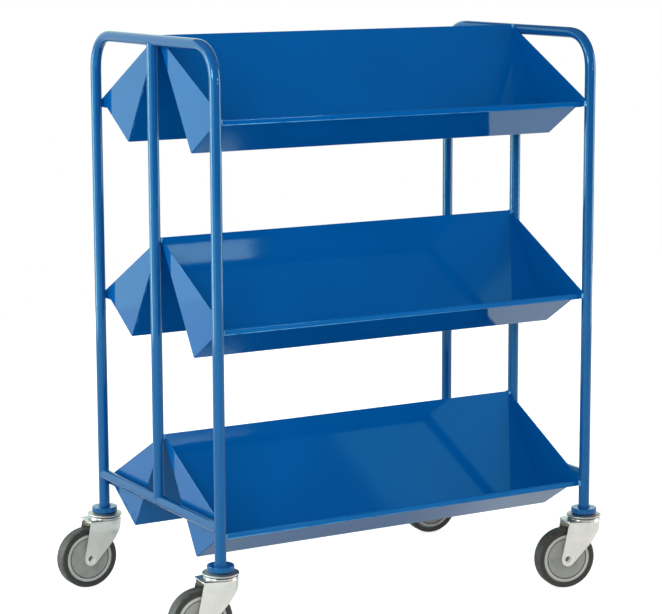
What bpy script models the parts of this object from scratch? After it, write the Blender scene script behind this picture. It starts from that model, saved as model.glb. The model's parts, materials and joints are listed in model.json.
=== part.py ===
"""Double-sided book trolley: three tiers of back-to-back V troughs in welded sheet steel,
carried between two bent tube hoops, on four swivel castors. Metres, +Z up, floor at z = 0."""

import math

import bmesh
import bpy
from mathutils import Matrix, Vector

# Clearances between neighbouring pieces
SEAT_GAP = 0.0003
RUNNING_GAP = 0.0006

# End hoops: inverted U of round tube, with a centre post standing on a low cross rail
FRAME_HEIGHT = 1.149
LEG_SPACING = 0.846
FRAME_DEPTH = 0.520
TUBE_DIAMETER = 0.022
TUBE_WALL = 0.0015
HOOP_BEND_RADIUS = 0.066
RAIL_HEIGHT = 0.2341

# Troughs: one sheet folded at a right angle, with a down-turned lip along the front
TIER_NAMES = ("bottom", "middle", "top")
SHEET_THICKNESS = 0.0012
BACK_PANEL_LENGTH = 0.2553
BASE_TILT = math.radians(32.3)
LIP_INSET = 0.0073
LIP_DEPTH = 0.0122
LIP_END_NOTCH = 0.0065
FOLD_RADIUS = 0.0024
LIP_RADIUS = 0.0018
RIDGE_DROP = 0.0018
BOTTOM_FOLD_HEIGHT = 0.1488

# End plates: three-cornered sheets closing each trough, with a blunt tip that meets the leg
PLATE_THICKNESS = 0.0015
TIP_RISE = 0.0055
TIP_DEPTH = 0.013
TIP_LAP = 0.0015

# Leg collars: turned flange with a threaded spigot inside the leg
COLLAR_DIAMETER = 0.052
COLLAR_THICKNESS = 0.0105
COLLAR_EDGE = 0.0012
SPIGOT_LENGTH = 0.022
BOLT_DIAMETER = 0.012
BOLT_HEAD_WIDTH = 0.018
BOLT_HEAD_HEIGHT = 0.0075
BOLT_END_SHORT = 0.003

# Castors: fixed head, ball race, pressed fork, tubular axle and wheel
WHEEL_DIAMETER = 0.125
CASTOR_HEAD_ROOM = 0.030
CASTOR_TRAIL = 0.043
HEAD_DIAMETER = 0.069
HEAD_BOSS_INSET = 0.0125
HEAD_RISE = 0.0035
HEAD_CAP_WALL = 0.0014
KING_PIN_WALL = 0.0042
KING_FLANGE_REACH = 0.0055
KING_FLANGE_THICKNESS = 0.003
RACE_GAP = 0.0016
RACE_HEIGHT = 0.0032
RACE_INSET = 0.0015
RACE_GROOVE_DEPTH = 0.0012
BALL_DIAMETER = 0.0046
BALL_INSET = 0.0075
FORK_SHEET = 0.0025
CHEEK_CLEARANCE = 0.004
FORK_NOSE_INSET = 0.001
FORK_TAIL_FLARE = 0.001
FORK_TAIL_REACH = 0.045
FORK_SHOULDER_DEPTH = 0.0308
FORK_NOSE_DEPTH = 0.0218
FORK_END_MARGIN = 0.0069
FORK_EDGE = 0.002
AXLE_DIAMETER = 0.0152
AXLE_FLARE = 0.0022
AXLE_FLANGE_THICKNESS = 0.0016
AXLE_WALL = 0.0014
AXLE_RECESS_DEPTH = 0.006
BUSH_WALL = 0.002
TYRE_WIDTH = 0.032
TYRE_DEPTH = 0.0125
TYRE_BULGE_START = 0.003
TREAD_EDGE_RADIUS = 0.0065
CENTRE_INSET = 0.0015
HUB_WALL = 0.0038
GROOVE_INSET = 0.0075
GROOVE_WIDTH = 0.0016
GROOVE_DEPTH = 0.0025

# How far each castor has swung from trailing straight back to -X, seen from above
CASTOR_SWING = {
    "left_front": math.radians(6),
    "left_rear": math.radians(-1),
    "right_front": math.radians(12),
    "right_rear": math.radians(4),
}

# Facets of the round pieces
TUBE_SIDES = 12
BEND_STEPS = 5
FOLD_STEPS = 3
TURNED_SIDES = 18
SMALL_SIDES = 12
WHEEL_SIDES = 24
TYRE_SIDES = 28
NOSE_STEPS = 10
END_STEPS = 6
SMOOTH_ANGLE = math.radians(35)

# Sizes that follow from those above
TUBE_RADIUS = TUBE_DIAMETER / 2
BORE_RADIUS = TUBE_RADIUS - TUBE_WALL
LEG_X = LEG_SPACING / 2
LEG_Y = FRAME_DEPTH / 2
BAR_HEIGHT = FRAME_HEIGHT - TUBE_RADIUS
WHEEL_RADIUS = WHEEL_DIAMETER / 2
CASTOR_HEIGHT = WHEEL_DIAMETER + CASTOR_HEAD_ROOM
LEG_FOOT = CASTOR_HEIGHT + COLLAR_THICKNESS + SEAT_GAP
PLATE_OUTER_X = LEG_X - TUBE_RADIUS - SEAT_GAP
TRAY_HALF_LENGTH = PLATE_OUTER_X - PLATE_THICKNESS - SEAT_GAP
BOLT_RADIUS = BOLT_DIAMETER / 2
THREAD_RADIUS = BOLT_RADIUS + SEAT_GAP
KING_RADIUS = THREAD_RADIUS + KING_PIN_WALL
HEAD_RADIUS = HEAD_DIAMETER / 2
BALL_RADIUS = BALL_DIAMETER / 2
BALL_CIRCLE = HEAD_RADIUS - BALL_INSET
# Heights down the castor's stack, from the head's top face to the king pin's flange
HEAD_TOP = CASTOR_HEIGHT - SEAT_GAP
HEAD_RIM_TOP = HEAD_TOP - HEAD_RISE
HEAD_CEILING = HEAD_RIM_TOP - HEAD_CAP_WALL
BALL_BOTTOM = HEAD_CEILING - SEAT_GAP - BALL_DIAMETER
RACE_TOP = BALL_BOTTOM - SEAT_GAP + RACE_GROOVE_DEPTH
HEAD_RIM_BOTTOM = RACE_TOP + RACE_GAP
CROWN_TOP = RACE_TOP - RACE_HEIGHT
CROWN_UNDERSIDE = CROWN_TOP - FORK_SHEET
KING_FLANGE_TOP = CROWN_UNDERSIDE - SEAT_GAP
KING_FLANGE_BOTTOM = KING_FLANGE_TOP - KING_FLANGE_THICKNESS
AXLE_RADIUS = AXLE_DIAMETER / 2
BUSH_RADIUS = AXLE_RADIUS + SEAT_GAP + BUSH_WALL
RIM_RADIUS = WHEEL_RADIUS - TYRE_DEPTH
FORK_INNER_WIDTH = TYRE_WIDTH + 2 * CHEEK_CLEARANCE
FORK_HALF_WIDTH = FORK_INNER_WIDTH / 2 + FORK_SHEET
FORK_NOSE_RADIUS = HEAD_RADIUS - FORK_NOSE_INSET
FORK_END_RADIUS = AXLE_RADIUS + FORK_END_MARGIN
# The trailing wheels reach further out than the castor heads do at the other end, so the frame
# stands off centre by half the difference and the object's box is centred on the origin.
FRAME_OFFSET_X = (CASTOR_TRAIL + WHEEL_RADIUS - HEAD_RADIUS) / 2


def paint(name, colour, roughness, metallic=0.0):
    """A Principled material with one linear colour."""
    material = bpy.data.materials.new(name)
    material.use_nodes = True
    shader = material.node_tree.nodes["Principled BSDF"]
    shader.inputs["Base Color"].default_value = (*colour, 1.0)
    shader.inputs["Roughness"].default_value = roughness
    shader.inputs["Metallic"].default_value = metallic
    return material


def mesh_from(bm, name):
    """Closes off a bmesh as a mesh with its faces pointing out and its round faces smooth."""
    bmesh.ops.recalc_face_normals(bm, faces=bm.faces)
    mesh = bpy.data.meshes.new(name)
    bm.to_mesh(mesh)
    bm.free()
    mesh.shade_smooth()
    mesh.set_sharp_from_angle(angle=SMOOTH_ANGLE)
    return mesh


def add(name, mesh, material, parent, location=(0, 0, 0), rotation=(0, 0, 0)):
    """Adds one named piece to the scene."""
    if not mesh.materials:
        mesh.materials.append(material)
    piece = bpy.data.objects.new(name, mesh)
    piece.parent = parent
    piece.location = location
    piece.rotation_euler = rotation
    bpy.context.scene.collection.objects.link(piece)


def empty(name, parent=None, location=(0, 0, 0), rotation=(0, 0, 0)):
    """Adds an empty that carries a group or marks a joint axis."""
    carrier = bpy.data.objects.new(name, None)
    carrier.parent = parent
    carrier.location = location
    carrier.rotation_euler = rotation
    bpy.context.scene.collection.objects.link(carrier)
    return carrier


def turned(name, profile, sides):
    """Spins a closed (radius, height) profile round Z; the profile may touch the axis."""
    bm = bmesh.new()
    corners = [bm.verts.new((radius, 0, height)) for radius, height in profile]
    edges = []
    for first, second in zip(corners, corners[1:] + corners[:1]):
        edges.append(bm.edges.new((first, second)))
    bmesh.ops.spin(bm, geom=corners + edges, cent=(0, 0, 0), axis=(0, 0, 1),
                   angle=math.tau, steps=sides, use_merge=True)
    bmesh.ops.remove_doubles(bm, verts=bm.verts, dist=1e-6)
    bmesh.ops.dissolve_degenerate(bm, dist=1e-7, edges=bm.edges)
    return mesh_from(bm, name)


def prism(name, outline, plane, low, high):
    """Extrudes an outline of (across, up) points from low to high along the plane's normal."""
    place = {
        "YZ": lambda u, v, w: (w, u, v),
        "XZ": lambda u, v, w: (u, w, v),
        "XY": lambda u, v, w: (u, v, w),
    }[plane]
    bm = bmesh.new()
    face = bm.faces.new([bm.verts.new(place(u, v, low)) for u, v in outline])
    lifted = bmesh.ops.extrude_face_region(bm, geom=[face])["geom"]
    rise = Vector(place(0, 0, high - low))
    bmesh.ops.translate(bm, vec=rise, verts=[item for item in lifted if isinstance(item, bmesh.types.BMVert)])
    return mesh_from(bm, name)


def swept_tube(name, path, outer_radius, inner_radius=0.0):
    """A round tube along a path in the YZ plane, bored through if inner_radius is given."""
    bm = bmesh.new()
    walls = []
    for radius in (outer_radius, inner_radius):
        rings = []
        for index, point in enumerate(path):
            before = path[max(index - 1, 0)]
            after = path[min(index + 1, len(path) - 1)]
            into = (point - before).normalized() + (after - point).normalized()
            side = Vector((1, 0, 0))
            normal = into.normalized().cross(side)
            ring = []
            for step in range(TUBE_SIDES):
                turn = math.tau * step / TUBE_SIDES
                ring.append(bm.verts.new(point + radius * (math.cos(turn) * side + math.sin(turn) * normal)))
            rings.append(ring)
        for near, far in zip(rings, rings[1:]):
            bridge(bm, near, far)
        walls.append(rings)
        if not inner_radius:
            bm.faces.new(rings[0])
            bm.faces.new(rings[-1])
            break
    if inner_radius:
        for end in (0, -1):
            bridge(bm, walls[0][end], walls[1][end])
    return mesh_from(bm, name)


def bridge(bm, near, far):
    """Joins two closed rings of as many points with a band of faces."""
    count = len(near)
    for index in range(count):
        following = (index + 1) % count
        bm.faces.new((near[index], near[following], far[following], far[index]))


def cut_mesh(name, base, steps):
    """Applies Booleans in turn to a base mesh: steps are (operation, mesh) pairs."""
    work = bpy.data.objects.new(name, base)
    bpy.context.scene.collection.objects.link(work)
    tools = []
    for operation, mesh in steps:
        tool = bpy.data.objects.new(name + "_tool", mesh)
        tool.hide_render = True
        tool.display_type = "WIRE"
        bpy.context.scene.collection.objects.link(tool)
        modifier = work.modifiers.new(operation.lower(), "BOOLEAN")
        modifier.operation = operation
        modifier.object = tool
        modifier.solver = "EXACT"
        tools.append(tool)
    bpy.context.view_layer.update()
    result = bpy.data.meshes.new_from_object(work.evaluated_get(bpy.context.evaluated_depsgraph_get()))
    result.name = name
    for helper in tools + [work]:
        bpy.data.objects.remove(helper)
    result.materials.clear()
    result.shade_smooth()
    result.set_sharp_from_angle(angle=SMOOTH_ANGLE)
    return result


def arc(centre, radius, start, end, steps):
    """Points on an arc in a plane, from one angle to the other, both included."""
    points = []
    for step in range(steps + 1):
        turn = start + (end - start) * step / steps
        points.append(centre + radius * Vector((math.cos(turn), math.sin(turn))))
    return points


def rounded_path(corners, radii, steps):
    """A path of plane points whose inner corners are arcs: (point, normal) pairs along it."""
    path = []
    for index, corner in enumerate(corners):
        if index in (0, len(corners) - 1):
            beside = corners[1] - corner if index == 0 else corner - corners[-2]
            path.append((corner, Vector((-beside.y, beside.x)).normalized()))
            continue
        into = (corner - corners[index - 1]).normalized()
        out = (corners[index + 1] - corner).normalized()
        bend = math.atan2(into.x * out.y - into.y * out.x, into.dot(out))
        side = math.copysign(1.0, bend)
        radius = radii[index - 1]
        start = corner - into * radius * math.tan(abs(bend) / 2)
        normal = Vector((-into.y, into.x))
        centre = start + side * radius * normal
        first = math.atan2(start.y - centre.y, start.x - centre.x)
        for point in arc(centre, radius, first, first + bend, steps):
            path.append((point, side * (centre - point).normalized()))
    return path


def folded_sheet(corners, radii, thickness):
    """Outline of a folded sheet, from the middle line of its section."""
    path = rounded_path(corners, radii, FOLD_STEPS)
    upper = [point + normal * thickness / 2 for point, normal in path]
    lower = [point - normal * thickness / 2 for point, normal in path]
    return upper + lower[::-1]


def tangent_point(outside, centre, radius, side):
    """Where a line from a point outside a circle touches it; side is +1 or -1."""
    reach = outside - centre
    swing = side * math.acos(radius / reach.length)
    angle = math.atan2(reach.y, reach.x) + swing
    return angle, centre + radius * Vector((math.cos(angle), math.sin(angle)))


for old in list(bpy.data.objects):
    bpy.data.objects.remove(old)

BLUE = paint("blue_powder_coat", (0.010, 0.098, 0.300), 0.28)
ZINC = paint("zinc_plate", (0.62, 0.63, 0.61), 0.32, 1.0)
GREY = paint("grey_moulding", (0.26, 0.27, 0.26), 0.45)
RUBBER = paint("dark_rubber", (0.045, 0.047, 0.047), 0.62)

trolley = empty("trolley", location=(FRAME_OFFSET_X, 0, 0))

# End hoops, posts and rails. Post and rail ends are coped to the tubes that they meet.
hoop_corners = [
    Vector((-LEG_Y, LEG_FOOT)),
    Vector((-LEG_Y, BAR_HEIGHT)),
    Vector((LEG_Y, BAR_HEIGHT)),
    Vector((LEG_Y, LEG_FOOT)),
]
hoop_path = []
for point, _ in rounded_path(hoop_corners, [HOOP_BEND_RADIUS] * 2, BEND_STEPS):
    hoop_path.append(Vector((0, point.x, point.y)))
hoop_mesh = swept_tube("end_hoop", hoop_path, TUBE_RADIUS, BORE_RADIUS)


def coped_tube(name, start, end, crossing):
    """A straight tube between two tubes' centre lines, each end coped to its neighbour."""
    cutters = []
    for centre in (start, end):
        reach = crossing * 3 * TUBE_RADIUS
        cutter = swept_tube(name + "_cope", [centre - reach, centre + reach], TUBE_RADIUS + SEAT_GAP)
        cutters.append(("DIFFERENCE", cutter))
    return cut_mesh(name, swept_tube(name + "_blank", [start, end], TUBE_RADIUS, BORE_RADIUS), cutters)


post_mesh = coped_tube("centre_post", Vector((0, 0, RAIL_HEIGHT)), Vector((0, 0, BAR_HEIGHT)),
                       Vector((0, 1, 0)))
rail_mesh = coped_tube("lower_rail", Vector((0, -LEG_Y, RAIL_HEIGHT)), Vector((0, LEG_Y, RAIL_HEIGHT)),
                       Vector((0, 0, 1)))

for end_name, end_side in (("left", -1), ("right", 1)):
    add(f"end_hoop_{end_name}", hoop_mesh, BLUE, trolley, (end_side * LEG_X, 0, 0))
    add(f"centre_post_{end_name}", post_mesh, BLUE, trolley, (end_side * LEG_X, 0, 0))
    add(f"lower_rail_{end_name}", rail_mesh, BLUE, trolley, (end_side * LEG_X, 0, 0))

# Trough section, in the plane of distance from the middle (towards the front) and height above
# the fold. Front troughs are built towards -Y and rear ones are the same turned half round.
half_sheet = SHEET_THICKNESS / 2
back_slope = math.pi / 2 - BASE_TILT
back_drop = Vector((math.cos(back_slope), -math.sin(back_slope))) * BACK_PANEL_LENGTH
ridge_inset = SEAT_GAP + half_sheet * math.sin(back_slope)
fold = Vector((ridge_inset + back_drop.x, half_sheet))
ridge = fold - back_drop
front_distance = LEG_Y - LIP_INSET - half_sheet
front_edge = Vector((front_distance, fold.y + (front_distance - fold.x) * math.tan(BASE_TILT)))
lip_foot = front_edge - Vector((0, LIP_DEPTH))
section = folded_sheet([ridge, fold, front_edge, lip_foot], [FOLD_RADIUS, LIP_RADIUS], SHEET_THICKNESS)
tray_blank = prism("tray_blank", [(-point.x, point.y) for point in section], "YZ",
                   -TRAY_HALF_LENGTH, TRAY_HALF_LENGTH)

# The lip stops short of both ends, below its bend, so that the end plates' tips can pass.
notches = []
lip_top = front_edge.y - LIP_RADIUS - half_sheet
lip_cut = [
    (-front_distance - LIP_RADIUS, lip_top),
    (-front_distance - LIP_RADIUS, lip_foot.y - LIP_DEPTH),
    (-front_distance + SHEET_THICKNESS, lip_foot.y - LIP_DEPTH),
    (-front_distance + SHEET_THICKNESS, lip_top),
]
for side in (-1, 1):
    ends = sorted((side * (TRAY_HALF_LENGTH - LIP_END_NOTCH), side * (TRAY_HALF_LENGTH + LIP_END_NOTCH)))
    notches.append(("DIFFERENCE", prism("lip_notch", lip_cut, "YZ", *ends)))
tray_mesh = cut_mesh("tray", tray_blank, notches)

# End plate outline: down the back, along the base, a blunt tip at the leg, and up to the ridge.
tip_reach = LEG_Y - TIP_LAP
ridge_top = ridge.y + half_sheet * math.cos(back_slope)
tip_top = front_edge.y + TIP_RISE
tip_bottom = tip_top - TIP_DEPTH
tip_start = fold.x + tip_bottom / math.tan(BASE_TILT)
plate_outline = [
    (-ridge_inset, ridge_top),
    (-fold.x, 0.0),
    (-tip_start, tip_bottom),
    (-tip_reach, tip_bottom),
    (-tip_reach, tip_top),
]
plate_mesh = prism("end_plate", plate_outline, "YZ", -PLATE_THICKNESS / 2, PLATE_THICKNESS / 2)
plate_x = PLATE_OUTER_X - PLATE_THICKNESS / 2

top_fold_height = FRAME_HEIGHT - RIDGE_DROP - ridge_top
tier_pitch = (top_fold_height - BOTTOM_FOLD_HEIGHT) / (len(TIER_NAMES) - 1)
for tier, tier_name in enumerate(TIER_NAMES):
    height = BOTTOM_FOLD_HEIGHT + tier * tier_pitch
    for face_name, turn in (("front", 0.0), ("rear", math.pi)):
        add(f"tray_{tier_name}_{face_name}", tray_mesh, BLUE, trolley, (0, 0, height), (0, 0, turn))
        for end_name, end_side in (("left", -1), ("right", 1)):
            add(f"end_plate_{tier_name}_{face_name}_{end_name}", plate_mesh, BLUE, trolley,
                (end_side * plate_x, 0, height), (0, 0, turn))

# Collar: flange under the leg, with a spigot up its bore and the bolt's thread through both.
collar_radius = COLLAR_DIAMETER / 2
spigot_radius = BORE_RADIUS * math.cos(math.pi / TUBE_SIDES) - SEAT_GAP
spigot_top = COLLAR_THICKNESS + SPIGOT_LENGTH
collar_mesh = turned("leg_collar", [
    (THREAD_RADIUS, 0.0),
    (collar_radius, 0.0),
    (collar_radius, COLLAR_THICKNESS - COLLAR_EDGE),
    (collar_radius - COLLAR_EDGE, COLLAR_THICKNESS),
    (spigot_radius, COLLAR_THICKNESS),
    (spigot_radius, spigot_top),
    (THREAD_RADIUS, spigot_top),
], TURNED_SIDES)

# Castor head: pressed cap over the balls, with the hollow king pin that holds the fork's crown.
rim_wall = (BALL_INSET - BALL_RADIUS) / 2
rim_curl = (HEAD_RIM_TOP - HEAD_RIM_BOTTOM) / 4
king_flange = KING_RADIUS + KING_FLANGE_REACH
head_mesh = turned("castor_head", [
    (THREAD_RADIUS, KING_FLANGE_BOTTOM),
    (king_flange, KING_FLANGE_BOTTOM),
    (king_flange, KING_FLANGE_TOP),
    (KING_RADIUS, KING_FLANGE_TOP),
    (KING_RADIUS, HEAD_CEILING),
    (HEAD_RADIUS - rim_wall, HEAD_CEILING),
    (HEAD_RADIUS - rim_wall, HEAD_RIM_BOTTOM),
    (HEAD_RADIUS, HEAD_RIM_BOTTOM + rim_curl),
    (HEAD_RADIUS, HEAD_RIM_TOP - rim_curl),
    (HEAD_RADIUS - rim_wall / 2, HEAD_RIM_TOP),
    (HEAD_RADIUS - HEAD_BOSS_INSET, HEAD_TOP),
    (THREAD_RADIUS, HEAD_TOP),
], TURNED_SIDES)

# Bolt: hexagon head under the king pin, shank up through the head into the collar.
bolt_head_top = KING_FLANGE_BOTTOM - SEAT_GAP
bolt_end = CASTOR_HEIGHT + spigot_top - BOLT_END_SHORT
bolt_head_foot = bolt_head_top - BOLT_HEAD_HEIGHT
bolt_chamfer = BOLT_DIAMETER / 8
hexagon = arc(Vector((0, 0)), BOLT_HEAD_WIDTH / math.sqrt(3), 0.0, math.tau * 5 / 6, 5)
shank = turned("bolt_shank", [
    (0.0, bolt_head_top - BOLT_HEAD_HEIGHT / 2),
    (BOLT_RADIUS, bolt_head_top - BOLT_HEAD_HEIGHT / 2),
    (BOLT_RADIUS, bolt_end - bolt_chamfer),
    (BOLT_RADIUS - bolt_chamfer, bolt_end),
    (0.0, bolt_end),
], SMALL_SIDES)
bolt_mesh = cut_mesh("castor_bolt", prism("bolt_head", hexagon, "XY", bolt_head_foot, bolt_head_top),
                     [("UNION", shank)])

# Ball race: the ring that the balls fill between the head and the fork.
ball_ring = arc(Vector((BALL_CIRCLE, BALL_BOTTOM + BALL_RADIUS)), BALL_RADIUS, math.pi / 2, math.tau, 3)
race_mesh = turned("ball_race", ball_ring, TURNED_SIDES)


# Fork: a pressed crown, round at the nose, drawn down into two flat cheeks.
def fork_section(nose, half_width, tail_half_width, height):
    """One level of the fork's pressing, open ended towards -X past the cheeks' rear edges."""
    tail_x = -(CASTOR_TRAIL + 2 * FORK_END_RADIUS)
    points = [Vector((tail_x, -tail_half_width, height))]
    for step in range(NOSE_STEPS + 1):
        turn = math.pi * (step / NOSE_STEPS - 0.5)
        points.append(Vector((nose * math.cos(turn), half_width * math.sin(turn), height)))
    points.append(Vector((tail_x, tail_half_width, height)))
    return points


def lofted(name, sections):
    """A closed solid through a stack of sections with as many points each."""
    bm = bmesh.new()
    rings = [[bm.verts.new(point) for point in points] for points in sections]
    for near, far in zip(rings, rings[1:]):
        bridge(bm, near, far)
    bm.faces.new(rings[0])
    bm.faces.new(rings[-1])
    return mesh_from(bm, name)


def pressing(inset, top):
    """The fork's form, taken in all round by inset, from its crown to below the axle."""
    nose = FORK_NOSE_RADIUS - inset
    tail_slope = (FORK_NOSE_RADIUS - FORK_HALF_WIDTH - FORK_TAIL_FLARE) / FORK_TAIL_REACH
    tail = nose - tail_slope * (CASTOR_TRAIL + 2 * FORK_END_RADIUS)
    cheek = FORK_HALF_WIDTH - inset
    shoulder = CROWN_TOP - FORK_SHOULDER_DEPTH
    floor = WHEEL_RADIUS - 2 * FORK_END_RADIUS
    return [
        fork_section(nose - FORK_EDGE, nose - FORK_EDGE, tail - FORK_EDGE, top),
        fork_section(nose, nose, tail, top - FORK_EDGE),
        fork_section(nose, cheek, cheek, shoulder),
        fork_section(nose, cheek, cheek, floor - inset),
    ]


axle_centre = Vector((-CASTOR_TRAIL, WHEEL_RADIUS))
nose_low = Vector((FORK_NOSE_RADIUS, CROWN_TOP - FORK_NOSE_DEPTH))
tail_high = Vector((-FORK_TAIL_REACH, CROWN_TOP - FORK_EDGE))
front_turn, front_touch = tangent_point(nose_low, axle_centre, FORK_END_RADIUS, -1)
rear_turn, rear_touch = tangent_point(tail_high, axle_centre, FORK_END_RADIUS, 1)
end_arc = arc(axle_centre, FORK_END_RADIUS, front_turn, rear_turn - math.tau, END_STEPS)
beyond = 2 * FORK_NOSE_RADIUS
cheek_outline = [(point.x, point.y) for point in end_arc] + [
    (tail_high.x, tail_high.y),
    (tail_high.x, CROWN_TOP + FORK_EDGE),
    (beyond, CROWN_TOP + FORK_EDGE),
    (beyond, nose_low.y),
    (nose_low.x, nose_low.y),
]
cheek_prism = prism("cheek_outline", cheek_outline, "XZ", -beyond, beyond)
race_radius = HEAD_RADIUS - RACE_INSET
groove_half = BALL_RADIUS + SEAT_GAP
race_edge = RACE_HEIGHT / 5
race_seat = turned("race_seat", [
    (KING_RADIUS / 2, CROWN_TOP - FORK_SHEET / 2),
    (race_radius - FORK_EDGE, CROWN_TOP - FORK_SHEET / 2),
    (race_radius, CROWN_TOP),
    (race_radius, RACE_TOP - race_edge),
    (race_radius - race_edge, RACE_TOP),
    (BALL_CIRCLE + groove_half, RACE_TOP),
    (BALL_CIRCLE + groove_half / 2, RACE_TOP - RACE_GROOVE_DEPTH),
    (BALL_CIRCLE - groove_half / 2, RACE_TOP - RACE_GROOVE_DEPTH),
    (BALL_CIRCLE - groove_half, RACE_TOP),
    (KING_RADIUS / 2, RACE_TOP),
], TURNED_SIDES)
king_hole_radius = KING_RADIUS + RUNNING_GAP
king_hole = turned("king_hole", [
    (0.0, CROWN_UNDERSIDE - FORK_SHEET),
    (king_hole_radius, CROWN_UNDERSIDE - FORK_SHEET),
    (king_hole_radius, RACE_TOP + FORK_SHEET),
    (0.0, RACE_TOP + FORK_SHEET),
], TURNED_SIDES)
axle_hole = turned("axle_hole", [
    (0.0, -beyond),
    (AXLE_RADIUS + SEAT_GAP, -beyond),
    (AXLE_RADIUS + SEAT_GAP, beyond),
    (0.0, beyond),
], SMALL_SIDES)
axle_hole.transform(Matrix.Rotation(math.pi / 2, 4, "X"))
axle_hole.transform(Matrix.Translation((-CASTOR_TRAIL, 0, WHEEL_RADIUS)))
fork_mesh = cut_mesh("fork", lofted("fork_outside", pressing(0.0, CROWN_TOP)), [
    ("DIFFERENCE", lofted("fork_inside", pressing(FORK_SHEET, CROWN_UNDERSIDE))),
    ("INTERSECT", cheek_prism),
    ("UNION", race_seat),
    ("DIFFERENCE", king_hole),
    ("DIFFERENCE", axle_hole),
])

# Axle: tubular rivet with a flared rim outside each cheek, through a clamped bush.
flange_inner = FORK_HALF_WIDTH + SEAT_GAP
flange_outer = flange_inner + AXLE_FLANGE_THICKNESS
recess_floor = flange_outer - AXLE_RECESS_DEPTH
flange_radius = AXLE_RADIUS + AXLE_FLARE
recess_radius = AXLE_RADIUS - AXLE_WALL
half_axle = [
    (AXLE_RADIUS, flange_inner),
    (flange_radius, flange_inner),
    (flange_radius - AXLE_FLANGE_THICKNESS / 2, flange_outer),
    (recess_radius, flange_outer),
    (recess_radius, recess_floor),
    (0.0, recess_floor),
]
axle_mesh = turned("wheel_axle", half_axle + [(radius, -along) for radius, along in half_axle[::-1]],
                   SMALL_SIDES)

bush_half = FORK_INNER_WIDTH / 2 - SEAT_GAP
bush_mesh = turned("axle_bush", [
    (AXLE_RADIUS + SEAT_GAP, -bush_half),
    (BUSH_RADIUS, -bush_half),
    (BUSH_RADIUS, bush_half),
    (AXLE_RADIUS + SEAT_GAP, bush_half),
], SMALL_SIDES)

# Wheel centre: moulded disc with a hub boss, a turned groove and a flat rim for the tyre.
bore = BUSH_RADIUS + SEAT_GAP
boss_half = bush_half - SEAT_GAP
shoulder = TYRE_WIDTH / 2
face = shoulder - CENTRE_INSET
groove_radius = RIM_RADIUS - GROOVE_INSET
half_centre = [
    (bore, boss_half),
    (bore + HUB_WALL, boss_half),
    (bore + HUB_WALL, face),
    (groove_radius - GROOVE_WIDTH / 2, face),
    (groove_radius, face - GROOVE_DEPTH),
    (groove_radius + GROOVE_WIDTH / 2, face),
    (RIM_RADIUS - SEAT_GAP, face),
]
centre_mesh = turned("wheel_centre", half_centre + [(radius, -along) for radius, along in half_centre[::-1]],
                     WHEEL_SIDES)

# Tyre: rubber ring on the rim. Its facets are drawn outside the true circle, one of them level
# at the bottom, so that the wheel stands at its full radius.
facet = math.cos(math.pi / TYRE_SIDES)
tyre_half = [
    (RIM_RADIUS / facet, face),
    (RIM_RADIUS + TYRE_BULGE_START, shoulder),
    (WHEEL_RADIUS - TREAD_EDGE_RADIUS, shoulder),
    (WHEEL_RADIUS / facet, shoulder - TREAD_EDGE_RADIUS),
]
tyre_profile = tyre_half + [(radius, -along) for radius, along in tyre_half[::-1]]
tyre_mesh = turned("tyre", tyre_profile, TYRE_SIDES)

level_facet = math.pi / 2 + math.pi / TYRE_SIDES
for corner_name, swing in CASTOR_SWING.items():
    end_name, face_name = corner_name.split("_")
    x = LEG_X if end_name == "right" else -LEG_X
    y = LEG_Y if face_name == "rear" else -LEG_Y
    add(f"leg_collar_{corner_name}", collar_mesh, BLUE, trolley, (x, y, CASTOR_HEIGHT))
    add(f"castor_head_{corner_name}", head_mesh, ZINC, trolley, (x, y, 0))
    add(f"castor_bolt_{corner_name}", bolt_mesh, ZINC, trolley, (x, y, 0))
    swivel = empty(f"swivel_{corner_name}", trolley, (x, y, 0), (0, 0, -swing))
    add(f"ball_race_{corner_name}", race_mesh, ZINC, swivel)
    add(f"fork_{corner_name}", fork_mesh, ZINC, swivel)
    spin = empty(f"spin_{corner_name}", swivel, (-CASTOR_TRAIL, 0, WHEEL_RADIUS), (math.pi / 2, 0, 0))
    add(f"wheel_axle_{corner_name}", axle_mesh, ZINC, spin)
    add(f"axle_bush_{corner_name}", bush_mesh, ZINC, spin)
    add(f"wheel_centre_{corner_name}", centre_mesh, GREY, spin, rotation=(0, 0, level_facet))
    add(f"tyre_{corner_name}", tyre_mesh, RUBBER, spin, rotation=(0, 0, level_facet))
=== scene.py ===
"""Looks of the book trolley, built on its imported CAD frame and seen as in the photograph."""

import json
import math

import bmesh
import bpy
from mathutils import Matrix, Vector


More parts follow.
